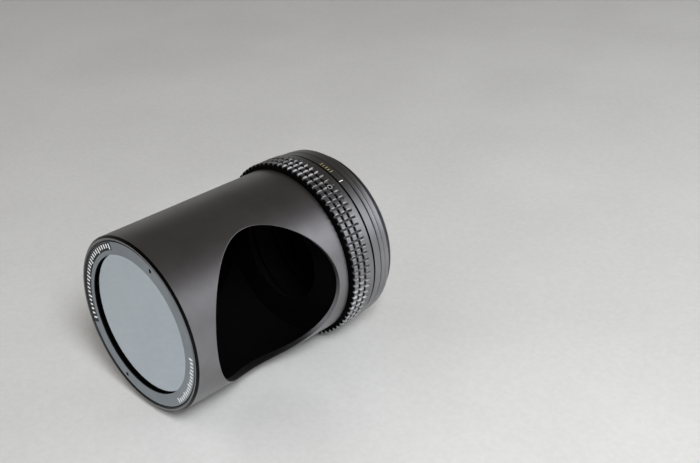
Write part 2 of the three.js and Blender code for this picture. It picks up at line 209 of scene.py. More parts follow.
# ------------------------------------------------------------------- materials
class Nodes:
    """A Principled material and short helpers for its procedural nodes; sizes are in mm."""

    def __init__(self, name, **sockets):
        self.m = bpy.data.materials.new(name)
        self.m.use_nodes = True
        self.t = self.m.node_tree
        self.bsdf = self.t.nodes["Principled BSDF"]
        for k, v in sockets.items():
            self.bsdf.inputs[k.replace("_", " ")].default_value = v
        coord = self.t.nodes.new("ShaderNodeTexCoord")
        scale = self.t.nodes.new("ShaderNodeVectorMath")
        scale.operation = "SCALE"
        scale.inputs["Scale"].default_value = 1000.0
        self.t.links.new(coord.outputs["Object"], scale.inputs[0])
        self.p = scale.outputs[0]
        split = self.t.nodes.new("ShaderNodeSeparateXYZ")
        self.t.links.new(self.p, split.inputs[0])
        self.x, self.y, self.z = split.outputs
        self.r = self.math("SQRT", self.math("ADD", self.math("MULTIPLY", self.x, self.x), self.math("MULTIPLY", self.z, self.z)))

    def put(self, node, socket, value):
        s = node.inputs[socket]
        if hasattr(value, "default_value") or hasattr(value, "is_output"):
            self.t.links.new(value, s)
        else:
            s.default_value = value

    def math(self, op, a, b=None, c=None, clamp=False):
        n = self.t.nodes.new("ShaderNodeMath")
        n.operation, n.use_clamp = op, clamp
        for i, v in enumerate((a, b, c)):
            if v is not None:
                self.put(n, i, v)
        return n.outputs[0]

    def ramp(self, value, lo, hi, out_lo=0.0, out_hi=1.0):
        n = self.t.nodes.new("ShaderNodeMapRange")
        n.interpolation_type = "SMOOTHSTEP"
        self.put(n, "Value", value)
        for k, v in (("From Min", lo), ("From Max", hi), ("To Min", out_lo), ("To Max", out_hi)):
            self.put(n, k, v)
        return n.outputs[0]

    def noise(self, size, detail=2.0, rough=0.5, vector=None, stretch=None):
        """3-D noise with blobs about `size` mm across."""
        n = self.t.nodes.new("ShaderNodeTexNoise")
        v = vector or self.p
        if stretch:
            m = self.t.nodes.new("ShaderNodeVectorMath")
            m.operation = "MULTIPLY"
            self.put(m, 0, v)
            m.inputs[1].default_value = stretch
            v = m.outputs[0]
        self.put(n, "Vector", v)
        n.inputs["Scale"].default_value = 1.0 / size
        n.inputs["Detail"].default_value = detail
        n.inputs["Roughness"].default_value = rough
        return n.outputs[0]

    def lines(self, value, size, detail=2.0):
        """Irregular turned lines about `size` mm wide along a coordinate."""
        n = self.t.nodes.new("ShaderNodeTexNoise")
        n.noise_dimensions = "1D"
        self.put(n, "W", value)
        n.inputs["Scale"].default_value = 1.0 / size
        n.inputs["Detail"].default_value = detail
        return n.outputs[0]

    def voronoi(self, size, feature="F1"):
        n = self.t.nodes.new("ShaderNodeTexVoronoi")
        n.feature = feature
        self.put(n, "Vector", self.p)
        n.inputs["Scale"].default_value = 1.0 / size
        return n.outputs["Distance"]

    def mix(self, fac, a, b):
        n = self.t.nodes.new("ShaderNodeMix")
        n.data_type = "RGBA"
        self.put(n, "Factor", fac)
        for k, v in ((6, a), (7, b)):
            if isinstance(v, tuple):
                v = (*v, 1.0) if len(v) == 3 else v
            self.put(n, k, v)
        return n.outputs[2]

    def attribute(self, name):
        n = self.t.nodes.new("ShaderNodeAttribute")
        n.attribute_name = name
        return n.outputs["Fac"]

    def set(self, socket, value):
        self.put(self.bsdf, socket, value)

    def bump(self, *layers):
        """layers: (height, distance in mm, strength)"""
        last = None
        for height, distance, strength in layers:
            b = self.t.nodes.new("ShaderNodeBump")
            self.put(b, "Height", height)
            b.inputs["Distance"].default_value = distance * MM
            b.inputs["Strength"].default_value = strength
            if last is not None:
                self.t.links.new(last, b.inputs["Normal"])
            last = b.outputs[0]
        self.t.links.new(last, self.bsdf.inputs["Normal"])


def anodised(name, base, base2, rough, worn_and_highlight_colour=(0.55, 0.54, 0.52), wear_and_painted_light=0.5, line=0.22, line_strength=0.25,
             grain=0.12, metallic=1.0, scuffs=0.5, painted_shade_colour=(0.006, 0.006, 0.006)):
    """Satin black anodised aluminium: fine turning, sealed grain, slight blotches, dust, rubbed edges with painted
    highlights, and painted shade where the vertex value is negative.
    """
    n = Nodes(name, Metallic=metallic)
    along = n.math("ADD", n.y, n.r)
    blotch = n.noise(14, 3, 0.55)
    fine = n.noise(grain, 2, 0.6)
    turning = n.lines(along, line, 3)
    colour = n.mix(n.ramp(blotch, 0.35, 0.65), base, base2)
    tone = n.math("ADD", n.math("MULTIPLY", n.math("SUBTRACT", turning, 0.5), 0.18), 1.0)
    tone = n.math("ADD", tone, n.math("MULTIPLY", n.math("SUBTRACT", fine, 0.5), 0.22))
    dark = n.mix(tone, (0, 0, 0), (1, 1, 1))
    m = n.t.nodes.new("ShaderNodeMix")
    m.data_type, m.blend_type = "RGBA", "MULTIPLY"
    m.inputs["Factor"].default_value = 1.0
    n.t.links.new(colour, m.inputs[6])
    n.t.links.new(dark, m.inputs[7])
    colour = m.outputs[2]
    # hairline handling marks that run mostly along the axis
    hair = n.noise(0.5, 1, 0.5, stretch=(6.0, 0.22, 6.0))
    hair = n.math("MULTIPLY", n.ramp(hair, 0.70, 0.76), n.ramp(n.noise(22, 2), 0.52, 0.7))
    # rubbed edges and painted highlights, from positive vertex values
    w = n.attribute("wear_and_painted_light")
    rub_and_highlight = n.ramp(n.math("ADD", n.math("MULTIPLY", w, 0.75), n.math("MULTIPLY", n.noise(1.6, 4, 0.65), 0.6)), 0.78, 1.15)
    rub_and_highlight = n.math("MULTIPLY", rub_and_highlight, wear_and_painted_light, clamp=True)
    marks = n.math("MAXIMUM", rub_and_highlight, n.math("MULTIPLY", hair, 0.10 * scuffs))
    colour = n.mix(marks, colour, worn_and_highlight_colour)
    # painted shade: negative vertex values darken towards the painted shade colour
    pit = n.math("MULTIPLY", n.math("MULTIPLY", w, -1.0), 1.0, clamp=True)
    colour = n.mix(pit, colour, painted_shade_colour)
    n.set("Base Color", colour)
    ro = n.math("ADD", n.math("MULTIPLY", n.math("SUBTRACT", fine, 0.5), 0.16), rough)
    ro = n.math("ADD", ro, n.math("MULTIPLY", n.math("SUBTRACT", n.noise(6, 4, 0.6), 0.5), 0.10))
    ro = n.math("ADD", ro, n.math("MULTIPLY", pit, 0.3))
    n.set("Roughness", ro)
    n.bump((turning, 0.006, line_strength), (fine, 0.006, 0.25))
    return n.m


def matte_black(name="matte_black", base=0.0018):
    n = Nodes(name, Metallic=0.0)
    n.bsdf.inputs["Specular IOR Level"].default_value = 0.05
    fleck = n.noise(0.35, 3, 0.7)
    n.set("Base Color", n.mix(n.ramp(fleck, 0.3, 0.8), (base * 0.6,) * 3, (base * 1.6,) * 3))
    n.set("Roughness", n.ramp(n.noise(2.5, 3), 0.3, 0.7, 0.88, 0.98))
    n.bump((fleck, 0.05, 0.5))
    return n.m


def steel(name, tint=(0.46, 0.46, 0.45), rough=0.3, metallic=1.0):
    n = Nodes(name, Metallic=metallic)
    grit = n.noise(0.18, 3, 0.6)
    stain = n.noise(1.4, 3, 0.6)
    n.set("Base Color", n.mix(n.ramp(stain, 0.35, 0.75), tint, tuple(0.6 * c for c in tint)))
    n.set("Roughness", n.ramp(grit, 0.25, 0.75, rough - 0.08, rough + 0.12))
    n.bump((grit, 0.01, 0.35))
    return n.m


M = {}
M["tube"] = anodised("tube_anodised", (0.272, 0.268, 0.277), (0.245, 0.240, 0.247), 0.42, wear_and_painted_light=0.12)
M["ring"] = anodised("ring_satin_black", (0.30, 0.33, 0.365), (0.27, 0.30, 0.335), 0.34, wear_and_painted_light=0.3, line=0.3, scuffs=0.3)
# grip: the light colour paints highlights on the flute sides, the near-black one paints shade in the grooves and at the
# edges
M["grip"] = anodised("grip_anodised", (0.25, 0.252, 0.26), (0.22, 0.221, 0.227), 0.38, worn_and_highlight_colour=(0.72, 0.72, 0.73),
                     wear_and_painted_light=0.85, line=0.3, grain=0.16, painted_shade_colour=(0.004, 0.004, 0.004))
M["base"] = anodised("base_anodised", (0.27, 0.27, 0.28), (0.24, 0.24, 0.25), 0.40, wear_and_painted_light=0.10, line=0.2)
# near-black anodised for the lip's outer rounding and a darker one for the mouth slope: painted dark reflection on what
# is the tube's own finish; the near-black one also lies under the left scale
M["rim"] = anodised("rim_painted_reflection_and_scale_band", (0.014, 0.0145, 0.016), (0.011, 0.0115, 0.0125), 0.34, wear_and_painted_light=0.05, scuffs=0.2)
M["slope"] = anodised("mouth_slope_painted_reflection", (0.07, 0.073, 0.08), (0.06, 0.063, 0.07), 0.34, wear_and_painted_light=0.1, scuffs=0.2)
M["black"] = matte_black()
M["screw"] = steel("screw_black", (0.07, 0.07, 0.07), 0.38)
M["set_screw"] = steel("set_screw_steel", (0.62, 0.62, 0.61), 0.42, 0.75)
M["spring"] = steel("spring_steel", (0.60, 0.58, 0.54), 0.26)


def mirror_metal(name, tint, rough, haze):
    n = Nodes(name, Metallic=1.0)
    smear = n.noise(9, 4, 0.6, stretch=(1.0, 1.0, 0.5))
    speck = n.ramp(n.voronoi(2.2), 0.03, 0.05, 1.0, 0.0)
    cast = n.mix(n.math("MULTIPLY", n.ramp(smear, 0.4, 0.7), 0.5), tint, tuple(0.94 * c for c in tint))
    n.set("Base Color", cast)
    n.set("Roughness", n.math("ADD", n.ramp(smear, 0.4, 0.75, rough, rough + haze), n.math("MULTIPLY", speck, 0.1)))
    return n.m


M["decoy"] = mirror_metal("decoy_coating", (0.55, 0.62, 0.68), 0.035, 0.03)
M["mirror"] = mirror_metal("mirror_silver", (0.90, 0.91, 0.91), 0.012, 0.01)


def ground_glass(name):
    n = Nodes(name, Metallic=0.0)
    grit = n.noise(0.12, 2)
    n.set("Base Color", n.mix(grit, (0.32, 0.37, 0.36), (0.45, 0.50, 0.48)))
    n.set("Roughness", n.ramp(grit, 0.3, 0.7, 0.45, 0.7))
    n.bump((grit, 0.03, 0.4))
    return n.m


M["ground"] = ground_glass("ground_glass_edge")


def foam(name):
    n = Nodes(name, Metallic=0.0)
    cell = n.voronoi(0.5)
    n.set("Base Color", n.mix(cell, (0.008, 0.008, 0.008), (0.03, 0.03, 0.03)))
    n.set("Roughness", n.ramp(cell, 0.0, 0.5, 0.98, 0.85))
    n.bump((cell, 0.15, 0.8))
    return n.m


def ptfe(name):
    n = Nodes(name, Metallic=0.0)
    cloud = n.noise(2.0, 3)
    n.set("Base Color", n.mix(cloud, (0.70, 0.69, 0.65), (0.80, 0.79, 0.76)))
    n.set("Roughness", n.ramp(cloud, 0.3, 0.7, 0.42, 0.58))
    n.bump((n.lines(n.r, 0.2), 0.01, 0.3))
    return n.m


def paint(name, colour, other):
    n = Nodes(name, Metallic=0.0)
    ink = n.noise(0.25, 3, 0.6)
    n.set("Base Color", n.mix(n.ramp(ink, 0.3, 0.7), colour, other))
    n.set("Roughness", n.ramp(ink, 0.3, 0.7, 0.45, 0.6))
    n.bump((ink, 0.01, 0.3))
    return n.m


M["foam"] = foam("foam_pad")
M["ptfe"] = ptfe("washer_ptfe")
M["white"] = paint("mark_white", (0.87, 0.89, 0.91), (0.80, 0.82, 0.84))
M["yellow"] = paint("mark_ochre", (0.34, 0.28, 0.12), (0.26, 0.21, 0.09))


# ----------------------------------------------------------------- barrel tube
def hole_block(shell_v, cols, rows, place, col0, col1, row0, row1):
    """The grid points around a block of cells, counter-clockwise in (column, row)."""
    loop = [(c, row0) for c in range(col0, col1)] + [(col1, r) for r in range(row0, row1)]
    loop += [(c, row1) for c in range(col1, col0, -1)] + [(col0, r) for r in range(row1, row0, -1)]
    return loop


FRACTIONS = [0.015, 0.05, 0.11, 0.19, 0.29, 0.40, 0.52, 0.64, 0.76, 0.88]


def barrel_tube():
    sh = Shell()
    rows = list(np.linspace(5.4, 71.85, 81))
    dphi = TAU / COLS
    blocks = [(64 - 54, 64 + 54, 0, 80, "window", None)]
    for deg, st in CRADLE_SCREWS:
        c = round(math.radians(deg) / dphi)
        r = min(range(81), key=lambda m: abs(rows[m] - st))
        blocks.append((c - 4, c + 4, r - 4, r + 4, "screw", (math.radians(deg), st)))

    def inside(c, r):
        return any(b[0] <= c < b[1] and b[2] <= r < b[3] for b in blocks)

    outer = [[sh.v(at(TUBE_R, dphi * c, s)) for c in range(COLS)] for s in rows]
    inner = [[sh.v(at(TUBE_BORE_R, dphi * c, s)) for c in range(COLS)] for s in rows]
    er = [out_of(1, 0, dphi * c) for c in range(COLS)]
    ei = [out_of(-1, 0, dphi * c) for c in range(COLS)]
    for m in range(80):
        for c in range(COLS):
            if inside(c, m):
                continue
            d = (c + 1) % COLS
            sh.face([outer[m][c], outer[m][d], outer[m + 1][d], outer[m + 1][c]], [er[c], er[d], er[d], er[c]], 0)
            sh.face([inner[m][c], inner[m + 1][c], inner[m + 1][d], inner[m][d]], [ei[c], ei[c], ei[d], ei[d]], 1)

    def radial_ring(r, params):
        return ([sh.v(at(r, p, s)) for p, s in params], [out_of(1, 0, p) for p, s in params])

    for c0, c1, r0, r1, kind, where in blocks:
        loop = hole_block(None, COLS, 81, None, c0, c1, r0, r1)
        bound = [(c * dphi, rows[m]) for c, m in loop]
        out_ids = [outer[m][c % COLS] for c, m in loop]
        in_ids = [inner[m][c % COLS] for c, m in loop]
        n_bound = [out_of(1, 0, p) for p, s in bound]
        neg = lambda ns: [(-x, -y, -z) for x, y, z in ns]
        if kind == "window":
            # curve angle for each boundary point: same polar angle in the unrolled surface
            th = np.linspace(-math.pi, math.pi, 7201)
            ct, cs = TUBE_R * np.arcsin(WINDOW_R * np.sin(th) / TUBE_R), WINDOW_R * np.cos(th)
            # t grows with the angle round the tube: t = -R*asin(z/R), measured from 90 degrees
            pol = np.unwrap(np.arctan2(cs, -ct))
            theta = []
            for p, s in bound:
                a = math.atan2(s - WINDOW_STATION, TUBE_R * (p - math.pi / 2))
                best = None
                for k in (-2, -1, 0, 1, 2):
                    b = a + TAU * k
                    lo, hi = min(pol[0], pol[-1]), max(pol[0], pol[-1])
                    if lo <= b <= hi:
                        best = b
                if pol[0] < pol[-1]:
                    theta.append(float(np.interp(best, pol, th)))
                else:
                    theta.append(float(np.interp(best, pol[::-1], th[::-1])))

            def curve(radius, wall):
                pts = []
                for t in theta:
                    z, y = wall * math.sin(t), wall * math.cos(t)
                    pts.append((math.pi / 2 - math.asin(z / radius), WINDOW_STATION + y))
                return pts

            soft = 0.22
            top = curve(TUBE_R, WINDOW_R + soft)
            low = curve(TUBE_BORE_R, WINDOW_R)
            wall_n = [(0.0, -math.cos(t), -math.sin(t)) for t in theta]
            # inner surface: from the block's edge to the wall
            last, ln = in_ids, neg(n_bound)
            for f in reversed(FRACTIONS):
                pr = [(lp + (bp - lp) * f, ls + (bs - ls) * f) for (lp, ls), (bp, bs) in zip(low, bound)]
                ids, ns = radial_ring(TUBE_BORE_R, pr)
                sh.link(last, ids, ln, neg(ns), 1)
                last, ln = ids, neg(ns)
            ids, ns = radial_ring(TUBE_BORE_R, low)
            sh.link(last, ids, ln, neg(ns), 1)
            # wall, a few rings along the bore, then the softened edge
            foot = [at(TUBE_BORE_R, p, s) for p, s in low]
            head = []
            for t in theta:
                z = WINDOW_R * math.sin(t)
                head.append((math.sqrt(TUBE_R ** 2 - z * z) - soft, WINDOW_STATION + WINDOW_R * math.cos(t) - LENGTH, z))
            last, ln = ids, wall_n
            for f in (0.35, 0.7, 1.0):
                ids = [sh.v(tuple(a + (b - a) * f for a, b in zip(pa, pb))) for pa, pb in zip(foot, head)]
                sh.link(last, ids, wall_n, wall_n, 0 if f > 0.5 else 0)
                last = ids
            corner = [(h[0] + soft, h[1], h[2]) for h in head]
            tops = [at(TUBE_R, p, s) for p, s in top]
            top_n = [out_of(1, 0, p) for p, s in top]
            ln = wall_n
            for k in range(1, 6):
                u = k / 5
                ids, ns = [], []
                for a, b, c, na, nc in zip(head, corner, tops, wall_n, top_n):
                    q = tuple((1 - u) ** 2 * a[i] + 2 * u * (1 - u) * b[i] + u * u * c[i] for i in range(3))
                    ids.append(sh.v(q, 0.45 * math.sin(math.pi * u) if k < 5 else 0.0))
                    v = Vector(na) * (1 - u) + Vector(nc) * u
                    v.normalize()
                    ns.append(tuple(v))
                sh.link(last, ids, ln, ns, 0)
                last, ln = ids, ns
            for f in FRACTIONS:
                pr = [(tp + (bp - tp) * f, ts + (bs - ts) * f) for (tp, ts), (bp, bs) in zip(top, bound)]
                ids, ns = radial_ring(TUBE_R, pr)
                sh.link(last, ids, ln, ns, 0)
                last, ln = ids, ns
            sh.link(last, out_ids, ln, n_bound, 0)
        else:
            pc, sc = where
            angle = [math.atan2(s - sc, TUBE_R * (p - pc)) for p, s in bound]
            dirs = [(math.cos(a), math.sin(a)) for a in angle]

            def circle(radius, at_r):
                return [(pc + radius * dx / at_r, sc + radius * dy) for dx, dy in dirs]

            def cone_n(slope):
                ns = []
                for dx, dy in dirs:
                    v = Vector(out_of(1, 0, pc)) * slope - (Vector((math.cos(pc), 0, -math.sin(pc))) * dx + Vector((0, 1, 0)) * dy)
                    v.normalize()
                    ns.append(tuple(v))
                return ns

            last, ln = in_ids, neg(n_bound)
            low = circle(1.3, TUBE_BORE_R)
            for f in (0.75, 0.5, 0.25, 0.0):
                pr = [(lp + (bp - lp) * f, ls + (bs - ls) * f) for (lp, ls), (bp, bs) in zip(low, bound)]
                ids, ns = radial_ring(TUBE_BORE_R, pr)
                sh.link(last, ids, ln, neg(ns), 1)
                last, ln = ids, neg(ns)
            wall, cone = cone_n(0.0), cone_n(0.69)
            neck = [sh.v(at(32.65, p, s)) for p, s in circle(1.3, 32.65)]
            sh.link(last, neck, wall, wall, 0)
            rim = [sh.v(at(33.93, p, s), 0.6) for p, s in circle(2.18, 33.93)]
            sh.link(neck, rim, cone, cone, 0)
            top = circle(2.27, TUBE_R)
            ids, ns = radial_ring(TUBE_R, top)
            sh.link(rim, ids, cone, ns, 0)
            last, ln = ids, ns
            for f in (0.25, 0.5, 0.75):
                pr = [(tp + (bp - tp) * f, ts + (bs - ts) * f) for (tp, ts), (bp, bs) in zip(top, bound)]
                ids, ns = radial_ring(TUBE_R, pr)
                sh.link(last, ids, ln, ns, 0)
                last, ln = ids, ns
            sh.link(last, out_ids, ln, n_bound, 0)

    # the plain ends: front rim with its rounded lip, and the rear edge
    ring = rounded([(TUBE_BORE_R, 5.4), (TUBE_MOUTH_R, 5.4), (TUBE_MOUTH_R, 0.45, 0.05), (32.6, 0.0, 0.08), (33.2, 0.0, 0.05), (TUBE_R, 0.8, 0.06),
                    (TUBE_R, 5.4), (TUBE_R, 71.85), (TUBE_R, TUBE_END, 0.25), (TUBE_BORE_R, TUBE_END, 0.2), (TUBE_BORE_R, 71.85)], 6)

    def gridded(a, b):
        return abs(a[0] - b[0]) < 1e-6 and min(a[1], b[1]) < 5.5 and max(a[1], b[1]) > 71.8

    extra = []
    for i, p in enumerate(ring):
        extra.append(p)
        q = ring[(i + 1) % len(ring)]
        if abs(p[0] - q[0]) < 1e-6 and p[0] > 33.9 and max(p[1], q[1]) < 5.5 and abs(p[1] - q[1]) > 2:
            for f in (0.25, 0.5, 0.75):
                extra.append((p[0], p[1] + (q[1] - p[1]) * f, p[3], p[3], 0.0))
    # the bored mouth is blacked, up to the rim's inner edge; the mouth slope and the lip's outer rounding take darker
    # anodised finishes, painted dark reflection
    def end_finish(a, b):
        if max(a[0], b[0]) < 32.11 and min(a[1], b[1]) < 20:
            return 1
        if max(a[0], b[0]) < 32.6 and min(a[1], b[1]) < 1:
            return 3
        return 2 if min(a[0], b[0]) > 33.16 and max(a[1], b[1]) < 0.84 else 0

    extra = [(r, s, n1, n2, 0.12 * w if s < 1 else w) for r, s, n1, n2, w in extra]
    turn_into(sh, extra, skip=gridded, mat_of=end_finish)
    ob = sh.make("barrel_tube_body", [M["tube"], M["black"], M["rim"], M["slope"]])
    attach(ob, "barrel")
    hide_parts("barrel_tube")
    return ob


barrel_tube()


# ------------------------------------------------------------------ front ring
def front_ring():
    sh = Shell()
    dphi = TAU / COLS
    r_in, r_out = EYE_R + 0.12, RING_R - 0.12
    rows = list(np.linspace(r_in, r_out, 8))
    face_n = (0.0, -1.0, 0.0)
    grid = [[sh.v(at(r, dphi * c, FACE)) for c in range(COLS)] for r in rows]
    blocks = []
    for deg in (SPANNER_ANGLE, SPANNER_ANGLE + 180):
        c = round(math.radians(deg) / dphi)
        blocks.append((c - 2, c + 2, 3, 6, math.radians(deg)))
    for m in range(7):
        for c in range(COLS):
            if any(b[0] <= c < b[1] and b[2] <= m < b[3] for b in blocks):
                continue
            d = (c + 1) % COLS
            sh.face([grid[m][c], grid[m][d], grid[m + 1][d], grid[m + 1][c]], [face_n] * 4)
    for c0, c1, r0, r1, pc in blocks:
        loop = []
        for c in range(c0, c1):
            loop += [(c, r0), (c + 0.5, r0)]
        for r in range(r0, r1):
            loop += [(c1, r), (c1, r + 0.5)]
        for c in range(c1, c0, -1):
            loop += [(c, r1), (c - 0.5, r1)]
        for r in range(r1, r0, -1):
            loop += [(c0, r), (c0, r - 0.5)]
        # whole grid points only, so that the block meets its neighbours
        loop = [p for p in loop if p[0] == int(p[0]) and p[1] == int(p[1])]
        bound = [(c * dphi, rows[int(m)]) for c, m in loop]
        ids_b = [grid[int(m)][int(c) % COLS] for c, m in loop]
        # three points on the hole for each one on the block's edge
        ang = [math.atan2(r - SPANNER_PITCH_R, SPANNER_PITCH_R * (p - pc)) for p, r in bound]
        ang = list(np.unwrap(ang))
        ang.append(ang[0] + TAU)
        fine = []
        for k in range(len(bound)):
            fine += [ang[k] + (ang[k + 1] - ang[k]) * f for f in (0, 1 / 3, 2 / 3)]

        def ring(radius, station):
            return [sh.v(at(SPANNER_PITCH_R + radius * math.sin(a), pc + radius * math.cos(a) / (SPANNER_PITCH_R + radius * math.sin(a)), station)) for a in fine]

        def hole_n(k):
            res = []
            for a in fine:
                e_phi, e_r = Vector((math.cos(pc), 0, -math.sin(pc))), Vector(out_of(1, 0, pc))
                v = -(e_phi * math.cos(a) + e_r * math.sin(a)) - Vector((0, 1, 0)) * k
                v.normalize()
                res.append(tuple(v))
            return res

        rim, wall_top, floor_ = ring(SPANNER_R + 0.12, FACE), ring(SPANNER_R, FACE + 0.12), ring(SPANNER_R, FACE + 1.35)
        n = len(fine)
        for k in range(len(bound)):
            a, b = ids_b[k], ids_b[(k + 1) % len(bound)]
            f = [rim[(3 * k + i) % n] for i in range(4)]
            sh.face([f[0], a, b, f[3], f[2], f[1]], [face_n] * 6)
        bevel, wall = hole_n(1.0), hole_n(0.0)
        sh.link(wall_top, rim, bevel, bevel)
        sh.link(floor_, wall_top, wall, wall)
        centre = sh.v(at(SPANNER_PITCH_R, pc, FACE + 1.65))
        cone = hole_n(2.0)
        for k in range(n):
            sh.face([centre, floor_[k], floor_[(k + 1) % n]], [cone[k], cone[k], cone[(k + 1) % n]])
    lip = FACE + 0.9
    profile = rounded([(EYE_R, FACE, 0.12), (RING_R, FACE, 0.12), (RING_R, RING_END, 0.1), (POCKET_R, RING_END, 0.1),
                       (POCKET_R, lip), (EYE_R, lip, 0.08)], 3)
    turn_into(sh, profile, skip=lambda a, b: abs(a[1] - FACE) < 1e-6 and abs(b[1] - FACE) < 1e-6,
              mat_of=lambda a, b: 1 if min(a[1], b[1]) > FACE + 0.11 else 0)
    ob = sh.make("front_ring_turned", [M["ring"], M["black"]])
    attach(ob, "barrel")
    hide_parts("front_ring")
    return ob


front_ring()


def marks(name, items, body, material, slot):
    """Thin painted marks. items: (kind, angle, half width in mm, low, high) on the front face, or round a band."""
    sh = Shell()
    for kind, deg, half, lo, hi, level in items:
        p = math.radians(deg)
        if kind == "face":            # on the front face: low and high are radii, level is the station
            mid = (lo + hi) / 2
            quad = [(hi, p - half / hi), (lo, p - half / lo), (lo, p + half / lo), (hi, p + half / hi)]
            front = [sh.v(at(r, a, level)) for r, a in quad]
            back = [sh.v(at(r, a, level + 0.06)) for r, a in quad]
            n_face = (0.0, -1.0, 0.0)
        else:                         # round a band: low and high are stations, level is the radius
            quad = [(hi, p - half / level), (lo, p - half / level), (lo, p + half / level), (hi, p + half / level)]
            front = [sh.v(at(level, a, s)) for s, a in quad]
            back = [sh.v(at(level - 0.06, a, s)) for s, a in quad]
            n_face = out_of(1, 0, p)
        a, b, c, d = [Vector(sh.co[i]) for i in front]
        order = [0, 1, 2, 3]
        if (b - a).cross(c - b).dot(Vector(n_face)) < 0:
            order = [3, 2, 1, 0]
        f = [front[i] for i in order]
        g = [back[i] for i in order]
        sh.face(f, [n_face] * 4)
        sh.face(g[::-1], [tuple(-x for x in n_face)] * 4)
        for i in range(4):
            j = (i + 1) % 4
            e = (Vector(sh.co[f[j]]) - Vector(sh.co[f[i]])).cross(Vector(n_face))
            e.normalize()
            sh.face([f[i], g[i], g[j], f[j]], [tuple(e)] * 4)
    ob = sh.make(name, [material])
    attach(ob, body)
    return ob


TURN = 3.25
face_marks = []
for i in range(26):
    deg = -109.5 + 3.4 * i + TURN
    face_marks.append(("face", deg, 0.36, 28.9 if i % 5 == 0 else 29.5, 31.1, FACE - 0.02))
for i in range(17):
    deg = 88.5 + 3.0 * i + TURN
    face_marks.append(("face", deg, 0.30, 29.2 if i % 4 == 0 else 29.7, 31.1, FACE - 0.02))


def arc_band(name, deg0, deg1, lo, hi, level, body, material, n=90):
    sh = Shell()
    rings = []
    ph = [math.radians(deg0 + (deg1 - deg0) * k / n) for k in range(n + 1)]
    for r, s in ((lo, level), (hi, level), (hi, level + 0.03), (lo, level + 0.03)):
        rings.append([sh.v(at(r, p, s)) for p in ph])
    normal = [(0, -1), (1, 0), (0, 1), (-1, 0)]
    for i in range(4):
        a, b = rings[i], rings[(i + 1) % 4]
        ns = [out_of(normal[i][0], normal[i][1], p) for p in ph]
        for k in range(n):
            sh.face([a[k], a[k + 1], b[k + 1], b[k]], [ns[k], ns[k + 1], ns[k + 1], ns[k]])
    for k, sgn in ((0, -1), (n, 1)):
        e = (sgn * math.cos(ph[k]), 0.0, -sgn * math.sin(ph[k]))
        ids = [rings[i][k] for i in range(4)]
        sh.face(ids if sgn < 0 else ids[::-1], [e] * 4)
    ob = sh.make(name, [material])
    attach(ob, body)
    return ob


arc_band("front_ring_scale_ground", -113 + TURN, -22 + TURN, 28.6, 31.6, FACE - 0.012, "barrel", M["rim"])
marks("front_ring_scale", face_marks, "barrel", M["white"], "ring_satin_black")

# ----------------------------------------------------- decoy glass and its fixings
glass_front = FACE + 0.9 + 0.3


def glass_zone(a, b):
    return 0 if a[1] < glass_front + 0.25 and b[1] < glass_front + 0.25 else 1


glass = turned("decoy_glass_disc", [(0, glass_front), (29.0, glass_front, 0.25), (29.0, glass_front + 1.8, 0.25), (0, glass_front + 1.8)],
               [M["decoy"], M["ground"]], "barrel", mat_of=glass_zone)
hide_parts("decoy_glass")


def snap_ring():
    """A wire-cut retaining ring with a gap, from an outline in the plane."""
    sh = Shell()
    front, back = glass_front + 2.1, glass_front + 2.6
    gap = math.asin(4.5 / 28.5)
    cols = 220
    rings = []
    for r, s, n in ((28.0, front, None), (29.0, front, None), (29.0, back, None), (28.0, back, None)):
        ids = []
        for k in range(cols + 1):
            p = -math.pi + gap + (TAU - 2 * gap) * k / cols
            ids.append(sh.v(at(r, p, s), 0.3))
        rings.append(ids)
    ph = [-math.pi + gap + (TAU - 2 * gap) * k / cols for k in range(cols + 1)]
    normal = [(0, -1), (1, 0), (0, 1), (-1, 0)]
    for i in range(4):
        a, b = rings[i], rings[(i + 1) % 4]
        ns = [out_of(normal[i][0], normal[i][1], p) for p in ph]
        for k in range(cols):
            sh.face([a[k], a[k + 1], b[k + 1], b[k]], [ns[k], ns[k + 1], ns[k + 1], ns[k]])
    for k, sgn in ((0, -1), (cols, 1)):
        n = (sgn * math.cos(ph[k]), 0.0, -sgn * math.sin(ph[k]))
        ids = [rings[i][k] for i in range(4)]
        sh.face(ids if sgn < 0 else ids[::-1], [n] * 4)
    ob = sh.make("glass_snap_ring_wire", [M["spring"]])
    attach(ob, "barrel")
    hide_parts("glass_snap_ring")


snap_ring()
shield = turned("light_shield_plate", [(0, 4.6), (RING_R, 4.6, 0.15), (RING_R, 5.3, 0.15), (0, 5.3)], [M["black"]], "barrel")
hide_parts("light_shield_disc")

# ------------------------------------------------------------------ the mirror
LONG = Vector((-1, 1, 0)).normalized()
FACE_N = Vector((1, 1, 0)).normalized()
CROSS = LONG.cross(FACE_N)
CENTRE = Vector((0, WINDOW_STATION - LENGTH, 0))


